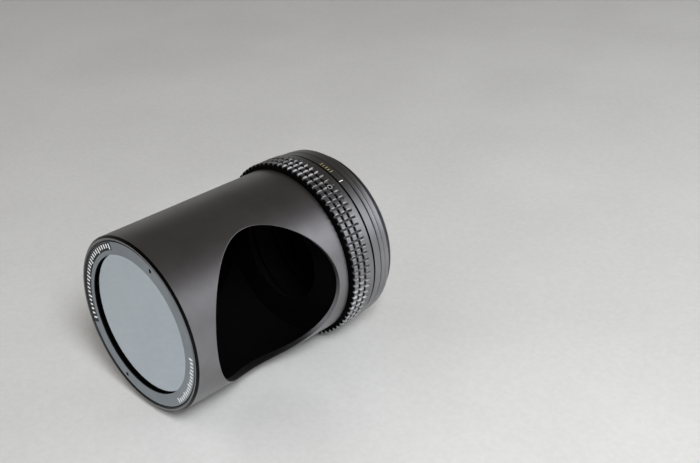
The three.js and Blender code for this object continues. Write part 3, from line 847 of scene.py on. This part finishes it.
def ellipse_plate(name, a, b, z_low, z_high, materials, body, node, edge=0.2, hole=None, n=160):
    sh = Shell()

    def ring(ea, eb, z, wear_and_painted_light=0.0):
        ids = []
        for k in range(n):
            t = TAU * k / n
            p = CENTRE + CROSS * (eb * math.cos(t)) + LONG * (ea * math.sin(t)) + FACE_N * z
            ids.append(sh.v(tuple(p), wear_and_painted_light))
        return ids

    def side(k1, k2, ea, eb):
        res = []
        for k in range(n):
            t = TAU * k / n
            v = (CROSS * (math.cos(t) / eb) + LONG * (math.sin(t) / ea)).normalized() * k1 + FACE_N * k2
            res.append(tuple(v.normalized()))
        return res

    top_n, low_n = [tuple(FACE_N)] * n, [tuple(-FACE_N)] * n
    outer = [ring(a - edge, b - edge, z_high), ring(a, b, z_high - edge, 0.6), ring(a, b, z_low + edge, 0.6), ring(a - edge, b - edge, z_low)]
    tilt, flat, under = side(0.7, 0.7, a, b), side(1, 0, a, b), side(0.7, -0.7, a, b)
    # linking lower to upper with the ring running counter-clockwise seen from outside needs (a to b) x (along) outward
    def join(p, q, na, nb, mat):
        for j in range(n):
            k = (j + 1) % n
            f, ns = [p[j], p[k], q[k], q[j]], [na[j], na[k], nb[k], nb[j]]
            A, B, C = [Vector(sh.co[f[i]]) for i in (0, 1, 2)]
            if (B - A).cross(C - B).dot(Vector(ns[0])) < 0:
                f, ns = f[::-1], ns[::-1]
            sh.face(f, ns, mat)
    join(outer[0], outer[1], tilt, tilt, 1)
    join(outer[1], outer[2], flat, flat, 1)
    join(outer[2], outer[3], under, under, 1)
    if hole:
        ha, hb = hole
        hi, lo = ring(ha, hb, z_high), ring(ha, hb, z_low)
        join(outer[0], hi, top_n, top_n, 0)
        join(outer[3], lo, low_n, low_n, 1)
        inward = [tuple(-Vector(v)) for v in side(1, 0, ha, hb)]
        join(hi, lo, inward, inward, 1)
    else:
        for base, nn, z, mat in ((outer[0], top_n, z_high, 0), (outer[3], low_n, z_low, 1)):
            mid = ring((a - edge) * 0.5, (b - edge) * 0.5, z)
            join(base, mid, nn, nn, mat)
            c = sh.v(tuple(CENTRE + FACE_N * z))
            for j in range(n):
                f = [mid[j], mid[(j + 1) % n], c]
                A, B, C = [Vector(sh.co[i]) for i in f]
                if (B - A).cross(C - B).dot(Vector(nn[0])) < 0:
                    f = f[::-1]
                sh.face(f, [nn[0]] * 3, mat)
    ob = sh.make(name, materials)
    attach(ob, body)
    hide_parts(node)
    return ob


ellipse_plate("mirror_plate", MIRROR_A, MIRROR_B, -MIRROR_THICK, 0.0, [M["mirror"], M["black"]], "barrel", "mirror", 0.25)
ellipse_plate("bonding_pad", MIRROR_A - 6, MIRROR_B - 5, -(MIRROR_THICK + 0.3 + PAD_THICK), -(MIRROR_THICK + 0.3), [M["foam"], M["foam"]],
              "barrel", "mirror_bonding_pad", 0.1, (MIRROR_A - 16, MIRROR_B - 14))

# ------------------------------------------------------------------ swivel hub
hub = turned("swivel_hub_turned", [
    (STOP_R, 68.6, 0.1), (31.9, 68.6, 0.2), (31.9, 72.0, 0.1), (30.9, 72.0, 0.15), (30.9, 75.55, 0.15), (33.4, 75.55, 0.2),
    (33.4, 77.2, 0.2), (27.5, 77.2, 0.3), (27.5, 69.8, 0.4), (STOP_R, 69.8, 0.1)], [M["black"]], "barrel")
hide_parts("swivel_hub")


# ------------------------------------------------------------------- grip ring
def grip_ring():
    pitch = TAU * GRIP_R / TEETH
    half = 0.55
    offs = [0.0, 0.25, 0.47, 0.54, 0.64, 0.98, pitch / 2, pitch - 0.98, pitch - 0.64, pitch - 0.54, pitch - 0.47, pitch - 0.25]
    phis = [TAU * t / TEETH + o / GRIP_R for t in range(TEETH) for o in offs]
    delta = [min(o, pitch - o) for _ in range(TEETH) for o in offs]
    stations = [72.95, 73.02, 73.12, 73.22, 73.6, 74.3, 74.95, 75.26, 75.33, 75.40, 75.43, 75.75, 76.07, 76.10, 76.17, 76.24,
                76.7, 77.3, 77.9, 78.31, 78.38, 78.45, 78.48, 78.8, 79.12, 79.15, 79.22, 79.29, 79.7, 80.2, 80.6, 80.9,
                81.1, 81.3, 81.5, 81.7, 81.95, 82.4, 83.0, 83.5, 83.8, 83.93, 84.01, 84.05]
    depth = 0.72

    def top(s):
        if s < 73.22:
            x = 73.22 - s
            return GRIP_R - 0.27 * (x / 0.27) ** 2
        if s <= 81.3:
            return GRIP_R
        if s < 81.7:
            return GRIP_R + (GRIP_LAND + 0.06 - GRIP_R) * (s - 81.3) / 0.4
        if s > 83.8:
            x = s - 83.8
            return GRIP_LAND + 0.06 - 0.22 * (x / 0.25) ** 2
        return GRIP_LAND + 0.06

    def fade(s):
        if s <= 80.6:
            return 1.0
        if s >= 81.7:
            return 0.0
        return 1.0 - ((s - 80.6) / 1.1) ** 1.6

    def groove(s):
        for lo, hi in GROOVES:
            if lo + 0.02 < s < hi - 0.02:
                return GRIP_R - 0.44
            if lo - 0.001 <= s <= hi + 0.001:
                return GRIP_R - 0.12
            d = min(abs(s - lo), abs(s - hi))
            if d < 0.13:
                return GRIP_R - 0.06 * (1 - d / 0.14) ** 2 if d < 0.1 else GRIP_R
        return 99.0

    def flute(d):
        if d >= 0.63:
            return 0.0
        if d > 0.5:
            return 0.035
        return depth * (1 - d / 0.57)

    sh = Shell()
    grid = []
    for s in stations:
        f, t, g = fade(s), top(s), groove(s)
        row = []
        in_groove = any(lo + 0.02 < s < hi - 0.02 for lo, hi in GROOVES)
        near = any(-0.15 < lo - s < 0.001 or -0.001 < s - hi < 0.15 or abs(s - lo) < 0.02 or abs(s - hi) < 0.02 or 0 < lo - s < 0.15 for lo, hi in GROOVES)
        for p, d in zip(phis, delta):
            v = max(t - flute(d) * f, t - flute(d) + 0.0) if f < 1 else t - flute(d)
            if f < 1:
                v = t - flute(d) * f
            r = min(v, g)
            # vertex values: painted highlight on the flute sides and rims, painted shade in the grooves, along their
            # edges, at the front edge and at the rear edge of the land
            if s > 81.2:
                w = 0.15 if s < 83.75 else -1.0
            elif d < 0.5:
                w = 0.12 if d < 0.1 else 0.85
                if in_groove and d > 0.4:
                    w = -1.0
            elif in_groove:
                w = -1.0
            elif s < 73.25:
                w = -0.9
            elif near:
                w = -0.6
            elif d < 0.65:
                w = 1.0
            else:
                w = 0.05
            row.append(sh.v(at(r, p, s), w))
        grid.append(row)
    n = len(phis)
    up = (0.0, 1.0, 0.0)
    for i in range(len(stations) - 1):
        a, b = grid[i], grid[i + 1]
        for k in range(n):
            h = (k + 1) % n
            sh.face([a[k], a[h], b[h], b[k]], [up] * 4)
    # front and rear faces, and the bore with its lip; the front face and the bore take matte black, painted shade of
    # the gap behind the tube
    inner = [(34.9, 72.95), (31.45, 72.95), (31.25, 73.0), (31.2, 73.2), (31.2, 74.65), (33.7, 74.65), (33.7, 83.8), (33.95, 84.05), (35.3, 84.05)]
    last = grid[0]
    for r, s in inner:
        ids = [sh.v(at(r, p, s), 0.0) for p in phis]
        for k in range(n):
            h = (k + 1) % n
            sh.face([last[h], last[k], ids[k], ids[h]], [up] * 4, 0 if s > 84 else 1)
        last = ids
    for k in range(n):
        h = (k + 1) % n
        sh.face([last[h], last[k], grid[-1][k], grid[-1][h]], [up] * 4)
    ob = sh.make("grip_ring_knurled", [M["grip"], M["black"]], custom=False, sharp=None)
    # tapped holes for the set screws
    cutters = []
    for deg in SET_SCREW_ANGLES:
        cut = Shell()
        p = math.radians(deg)
        o = Vector(out_of(1, 0, p))
        u, w = Vector((0, 1, 0)), Vector((math.cos(p), 0, -math.sin(p)))
        rings = []
        for rad, h in ((1.42, 32.8), (1.42, 35.95), (1.62, 36.15), (1.62, 37.5)):
            rings.append([cut.v(tuple(o * h + Vector((0, SET_SCREW_STATION - LENGTH, 0)) + (u * math.cos(TAU * k / 32) + w * math.sin(TAU * k / 32)) * rad)) for k in range(32)])
        zero = [(0, 0, 1)] * 32
        for i in range(3):
            cut.link(rings[i], rings[i + 1], zero, zero)
        cut.face(rings[0], zero)
        cut.face(rings[-1][::-1], zero)
        c = cut.make(f"cutter_{deg}", [], custom=False)
        c.data.update()
        import bmesh
        bm = bmesh.new()
        bm.from_mesh(c.data)
        bmesh.ops.recalc_face_normals(bm, faces=bm.faces)
        bm.to_mesh(c.data)
        bm.free()
        cutters.append(c)
        mod = ob.modifiers.new(f"hole_{deg}", "BOOLEAN")
        mod.operation, mod.object, mod.solver = "DIFFERENCE", c, "EXACT"
    dg = bpy.context.evaluated_depsgraph_get()
    done = bpy.data.meshes.new_from_object(ob.evaluated_get(dg))
    ob.modifiers.clear()
    old = ob.data
    ob.data = done
    done.name = "grip_ring_knurled"
    bpy.data.meshes.remove(old)
    for c in cutters:
        m = c.data
        bpy.data.objects.remove(c)
        bpy.data.meshes.remove(m)
    done.polygons.foreach_set("use_smooth", [True] * len(done.polygons))
    done.set_sharp_from_angle(angle=math.radians(24))
    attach(ob, "mount")
    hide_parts("grip_ring")
    return ob


grip_ring()


def radial_frame(deg, station):
    p = math.radians(deg)
    o = Vector(out_of(1, 0, p))
    return o, Vector((0, 1, 0)), Vector((math.cos(p), 0, -math.sin(p))), Vector((0, station - LENGTH, 0))


def rings_of(sh, deg, station, profile, n=48):
    """A solid of revolution about a radial line: profile of (radius, height from the axis), open at the start."""
    o, u, w, c = radial_frame(deg, station)
    res = []
    for rad, h in profile:
        res.append([sh.v(tuple(o * h + c + (u * math.cos(TAU * k / n) + w * math.sin(TAU * k / n)) * rad)) for k in range(n)])
    return res


def set_screw(i, deg):
    """A socket set screw: threaded body, chamfered cup end, hexagon recess."""
    sh = Shell()
    n = 48
    o, u, w, c = radial_frame(deg, SET_SCREW_STATION)
    prof = [(0.55, 33.72), (0.85, 33.7), (1.18, 34.03)]
    h = 34.03
    while h < 35.55:                   # 0.35 mm thread
        prof += [(1.02, h + 0.17), (1.18, h + 0.34)]
        h += 0.34
    prof += [(1.2, 35.82), (1.08, 36.0)]
    rings = rings_of(sh, deg, SET_SCREW_STATION, prof, n)
    key = 1.3 / math.sqrt(3)

    def hexagon(scale, height):
        ids = []
        for k in range(n):
            a = TAU * k / n
            rad = scale * key * math.cos(math.pi / 6) / math.cos((a % (math.pi / 3)) - math.pi / 6)
            ids.append(sh.v(tuple(o * height + c + (u * math.cos(a) + w * math.sin(a)) * rad)))
        return ids

    rings += [hexagon(1.06, 36.0), hexagon(1.0, 35.93), hexagon(1.0, 34.95)]
    tip = sh.v(tuple(o * 33.85 + c))
    pit = sh.v(tuple(o * 34.75 + c))
    zero = [(0, 0, 1)] * n
    for m, (a, b) in enumerate(zip(rings, rings[1:])):
        sh.link(a, b, zero, zero, 0 if len(rings) - 5 < m < len(rings) - 2 else 1)
    for k in range(n):
        j = (k + 1) % n
        sh.face([tip, rings[0][k], rings[0][j]], [(0, 0, 1)] * 3, 1)
        sh.face([pit, rings[-1][j], rings[-1][k]], [(0, 0, 1)] * 3, 1)
    fix_and_make(sh, f"set_screw_{i}_socket", [M["set_screw"], M["screw"]], "mount", f"set_screw_{i}", 32)


def fix_and_make(sh, name, materials, body, node, sharp):
    import bmesh
    ob = sh.make(name, materials, custom=False)
    bm = bmesh.new()
    bm.from_mesh(ob.data)
    bmesh.ops.recalc_face_normals(bm, faces=bm.faces)
    bm.to_mesh(ob.data)
    bm.free()
    ob.data.set_sharp_from_angle(angle=math.radians(sharp))
    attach(ob, body)
    if node:
        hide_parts(node)
    return ob


for i, deg in enumerate(SET_SCREW_ANGLES):
    set_screw(i + 1, deg)


def cradle_screw(i, deg, station):
    """A countersunk screw with a cross recess and a coarse thread."""
    import bmesh
    sh = Shell()
    n = 48
    prof = [(0.35, 30.0), (0.8, 30.12), (0.98, 30.35)]
    h = 30.35
    while h < 32.2:                    # 0.4 mm thread
        prof += [(0.84, h + 0.2), (1.0, h + 0.4)]
        h += 0.4
    prof += [(1.0, 33.0), (1.88, 33.88), (1.9, 33.93), (1.86, 33.96), (1.2, 33.97), (0.6, 33.97)]
    rings = rings_of(sh, deg, station, prof, n)
    zero = [(0, 0, 1)] * n
    for a, b in zip(rings, rings[1:]):
        sh.link(a, b, zero, zero)
    sh.face(rings[0], zero)
    sh.face(rings[-1][::-1], zero)
    ob = fix_and_make(sh, f"cradle_screw_{i}_cross", [M["screw"]], "barrel", f"cradle_screw_{i}", 30)
    o, u, w, c = radial_frame(deg, station)
    cut = Shell()
    for a0 in (math.radians(20), math.radians(110)):
        d1 = u * math.cos(a0) + w * math.sin(a0)
        d2 = o.cross(d1)
        corners = []
        for hh, ln, wd in ((33.15, 0.45, 0.14), (34.3, 1.15, 0.2)):
            corners.append([cut.v(tuple(o * hh + c + d1 * (sx * ln) + d2 * (sy * wd))) for sx, sy in ((-1, -1), (1, -1), (1, 1), (-1, 1))])
        lo, hi = corners
        cut.face(lo[::-1], zero)
        cut.face(hi, zero)
        for k in range(4):
            j = (k + 1) % 4
            cut.face([lo[k], lo[j], hi[j], hi[k]], zero)
    cob = cut.make(f"cross_{i}", [], custom=False)
    mod = ob.modifiers.new("recess", "BOOLEAN")
    mod.operation, mod.object, mod.solver, mod.use_self = "DIFFERENCE", cob, "EXACT", True
    dg = bpy.context.evaluated_depsgraph_get()
    done = bpy.data.meshes.new_from_object(ob.evaluated_get(dg))
    ob.modifiers.clear()
    old, ob.data = ob.data, done
    bpy.data.meshes.remove(old)
    m = cob.data
    bpy.data.objects.remove(cob)
    bpy.data.meshes.remove(m)
    done.polygons.foreach_set("use_smooth", [True] * len(done.polygons))
    done.set_sharp_from_angle(angle=math.radians(30))


for i, (deg, st) in enumerate(CRADLE_SCREWS):
    cradle_screw(i + 1, deg, st)

# ------------------------------------------------------------- base and washers
thrust = turned("thrust_washer_flat", [(31.4, 74.95, 0.06), (33.3, 74.95, 0.06), (33.3, 75.25, 0.06), (31.4, 75.25, 0.06)],
                [M["ptfe"]], "mount", steps=2)
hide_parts("thrust_washer")


def wave_washer():
    sh = Shell()
    sect = [(31.0, 0.03), (31.03, 0.0), (32.97, 0.0), (33.0, 0.03), (33.0, 0.22), (32.97, 0.25), (31.03, 0.25), (31.0, 0.22)]
    rings = []
    for r, h in sect:
        rings.append([sh.v(at(r, TAU * k / COLS, 77.5 + h + 0.45 * (0.5 - 0.5 * math.cos(4 * TAU * k / COLS)))) for k in range(COLS)])
    zero = [(0, 0, 1)] * COLS
    for i in range(len(sect)):
        sh.link(rings[i], rings[(i + 1) % len(sect)], zero, zero)
    fix_and_make(sh, "wave_washer_spring", [M["spring"]], "mount", "wave_washer", 40)


wave_washer()

# the bore and the front shoulder inside the grip are matte black; on the shoulder, which faces the grip across the
# narrow gap, this is painted shade
base = turned("base_ring_turned", [
    (28.3, 78.5, 0.3), (33.4, 78.5, 0.3), (33.4, 84.75, 0.1), (35.7, 84.75, 0.22), (35.7, 88.2, 0.3), (33.2, 88.2, 0.1),
    (30.9, 88.2, 0.1), (30.9, 91.5, 0.3), (28.3, 91.5, 0.3)], [M["base"], M["black"]], "mount",
    mat_of=lambda a, b: 1 if max(a[0], b[0]) < 34 or max(a[1], b[1]) < 84.98 else 0)
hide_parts("base_ring")
marks("base_ring_index", [("band", 27.0 + TURN, 0.14, 85.15, 86.9, 35.72)], "mount", M["white"], "base_anodised")
marks("base_ring_scale", [("band", 9.0 + 2.2 * i + TURN, 0.13, 85.3, 86.5 if i % 2 else 86.9, 35.72) for i in range(5)],
      "mount", M["yellow"], "base_anodised")


def step_ring():
    sh = Shell()
    prof = rounded([
        (31.2, 88.5, 0.1), (35.6, 88.5, 0.25), (35.6, 90.5, 0.2), (35.05, 90.6, 0.08), (35.05, 90.8, 0.08), (35.3, 90.85, 0.1),
        (35.3, 93.2, 0.35), (32.8, 93.2), (32.8, 96.7, 0.1), (29.6, 96.7, 0.3), (29.6, 91.8, 0.2), (31.2, 91.8, 0.1)], 4)

    def threaded(a, b):
        return abs(a[0] - 32.8) < 0.02 and abs(b[0] - 32.8) < 0.02 and abs(a[1] - b[1]) > 1

    prof = [p for p in prof]
    turn_into(sh, prof, skip=threaded, mat_of=lambda a, b: 1 if max(a[0], b[0]) < 31.3 and min(a[1], b[1]) < 96.35 else 0)
    # male thread, 0.75 mm pitch, with its relief behind the shoulder and a chamfered start
    pts = [p for p in prof if abs(p[0] - 32.8) < 0.02]
    s0, s1 = min(p[1] for p in pts), max(p[1] for p in pts)
    rows = 60
    rings = []
    for m in range(rows + 1):
        s = s0 + (s1 - s0) * m / rows
        ids = []
        for k in range(COLS):
            turn = k / COLS
            q = ((s - 93.2) / 0.75 - turn) % 1.0
            tooth = 1 - abs(2 * q - 1)
            tooth = min(1.0, max(0.0, (tooth - 0.06) / 0.82))
            crest = min(0.55, max(0.0, (s - 93.55) * 1.2), max(0.0, (96.62 - s) * 1.0))
            r = 32.8 + crest * tooth
            if m in (0, rows):
                r = 32.8
            ids.append(sh.v(at(r, TAU * turn, s), 0.5 if tooth > 0.9 and crest > 0.4 else 0.0))
        rings.append(ids)
    for m in range(rows):
        a, b = rings[m], rings[m + 1]
        for k in range(COLS):
            h = (k + 1) % COLS
            sh.face([a[k], a[h], b[h], b[k]], [out_of(1, 0, TAU * k / COLS)] * 4)
    ob = fix_and_make(sh, "step_ring_threaded", [M["base"], M["black"]], "mount", "step_ring", 30)
    return ob


step_ring()

baffle = turned("rear_baffle_cup", [
    (27.0, 88.0, 0.2), (28.0, 88.0, 0.2), (28.0, 96.4, 1.2), (STOP_R, 96.4, 0.2), (STOP_R, 95.4, 0.15), (27.0, 95.4, 0.5)],
    [M["black"]], "mount")
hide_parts("rear_baffle")

# carried-over CAD node: the wedge cradle is flat-sided, so its CAD shape stays
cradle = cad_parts["mirror_cradle"]
cradle.data.materials.clear()
cradle.data.materials.append(M["black"])

# ----------------------------------------------------------------------- stage
FLOOR_Z = -36.25 * MM


def floor_material():
    n = Nodes("studio_floor", Metallic=0.3)
    cloud = n.noise(90, 3, 0.5)
    grit = n.noise(1.1, 3, 0.6)
    fleck = n.noise(2.2, 4, 0.65)
    tone = n.math("ADD", n.math("MULTIPLY", n.ramp(cloud, 0.3, 0.7), 0.45), n.math("MULTIPLY", n.ramp(fleck, 0.25, 0.75), 0.55))
    n.set("Base Color", n.mix(tone, (0.625, 0.624, 0.615), (0.715, 0.715, 0.705)))
    n.set("Roughness", n.ramp(grit, 0.2, 0.8, 0.28, 0.36))
    return n.m


mesh = bpy.data.meshes.new("studio_floor")
big = 6.0
mesh.from_pydata([(-big, -big, FLOOR_Z), (big, -big, FLOOR_Z), (big, big, FLOOR_Z), (-big, big, FLOOR_Z)], [], [(0, 1, 2, 3)])
mesh.materials.append(floor_material())
floor = bpy.data.objects.new("studio_floor", mesh)
scene.collection.objects.link(floor)

world = bpy.data.worlds.new("studio")
scene.world = world
world.use_nodes = True
wt = world.node_tree
bg = wt.nodes["Background"]
coord = wt.nodes.new("ShaderNodeTexCoord")
sep = wt.nodes.new("ShaderNodeSeparateXYZ")
wt.links.new(coord.outputs["Generated"], sep.inputs[0])
ramp = wt.nodes.new("ShaderNodeValToRGB")
wt.links.new(sep.outputs[2], ramp.inputs[0])
ramp.color_ramp.elements[0].position, ramp.color_ramp.elements[0].color = 0.0, (0.57, 0.57, 0.575, 1)
ramp.color_ramp.elements[1].position, ramp.color_ramp.elements[1].color = 0.42, (0.128, 0.118, 0.104, 1)
e = ramp.color_ramp.elements.new(0.18)
e.color = (0.40, 0.398, 0.395, 1)
wt.links.new(ramp.outputs[0], bg.inputs[0])
bg.inputs[1].default_value = 1.0


def soft_box(name, place, aim, size, power, colour=(1, 1, 1), glossy=True):
    light = bpy.data.lights.new(name, "AREA")
    light.shape, light.size, light.size_y = "RECTANGLE", size[0], size[1]
    light.energy, light.color = power, colour
    ob = bpy.data.objects.new(name, light)
    scene.collection.objects.link(ob)
    ob.location = place
    ob.visible_glossy, ob.visible_camera = glossy, False
    ob.rotation_mode = "QUATERNION"
    ob.rotation_quaternion = (Vector(aim) - Vector(place)).to_track_quat("-Z", "Y")
    return ob


centre = (cad_box[0] + cad_box[1]) / 2
soft_box("right_rear_box", (0.51, 0.58, 0.33), centre, (0.64, 0.52), 1.95, (0.93, 0.94, 1.0))
soft_box("front_left_box", (-0.60, -0.75, 0.95), centre, (1.3, 1.1), 6.0, (1.0, 0.99, 0.97), False)
soft_box("right_floor_box", (0.70, -0.35, 0.70), (0.42, 0.20, -0.036), (0.40, 0.40), 18.0, (0.97, 0.985, 1.0), False)

# ---------------------------------------------------------------------- camera
# The window faces exactly +X here, so the photograph's view is turned 3.25 degrees about the barrel's axis.
turn = math.radians(TURN)


def about_axis(v):
    return Vector((v[0] * math.cos(turn) + v[2] * math.sin(turn), v[1], -v[0] * math.sin(turn) + v[2] * math.cos(turn)))


place = about_axis((266.05, -257.08, 212.70)) * MM
right = about_axis((0.71406, 0.70009, 0.0)).normalized()
up = about_axis((-0.34880, 0.35575, 0.86706)).normalized()
back = right.cross(up).normalized()
up = back.cross(right)
cam = bpy.data.cameras.new("photo_view")
cam.lens, cam.sensor_width, cam.sensor_fit = 53.69, 36.0, "HORIZONTAL"
cam.clip_start, cam.clip_end = 0.01, 50.0
cam_ob = bpy.data.objects.new("photo_view", cam)
scene.collection.objects.link(cam_ob)
cam_ob.matrix_world = Matrix(((right.x, up.x, back.x, place.x), (right.y, up.y, back.y, place.y),
                              (right.z, up.z, back.z, place.z), (0, 0, 0, 1)))
scene.camera = cam_ob
scene.view_settings.view_transform = "Standard"
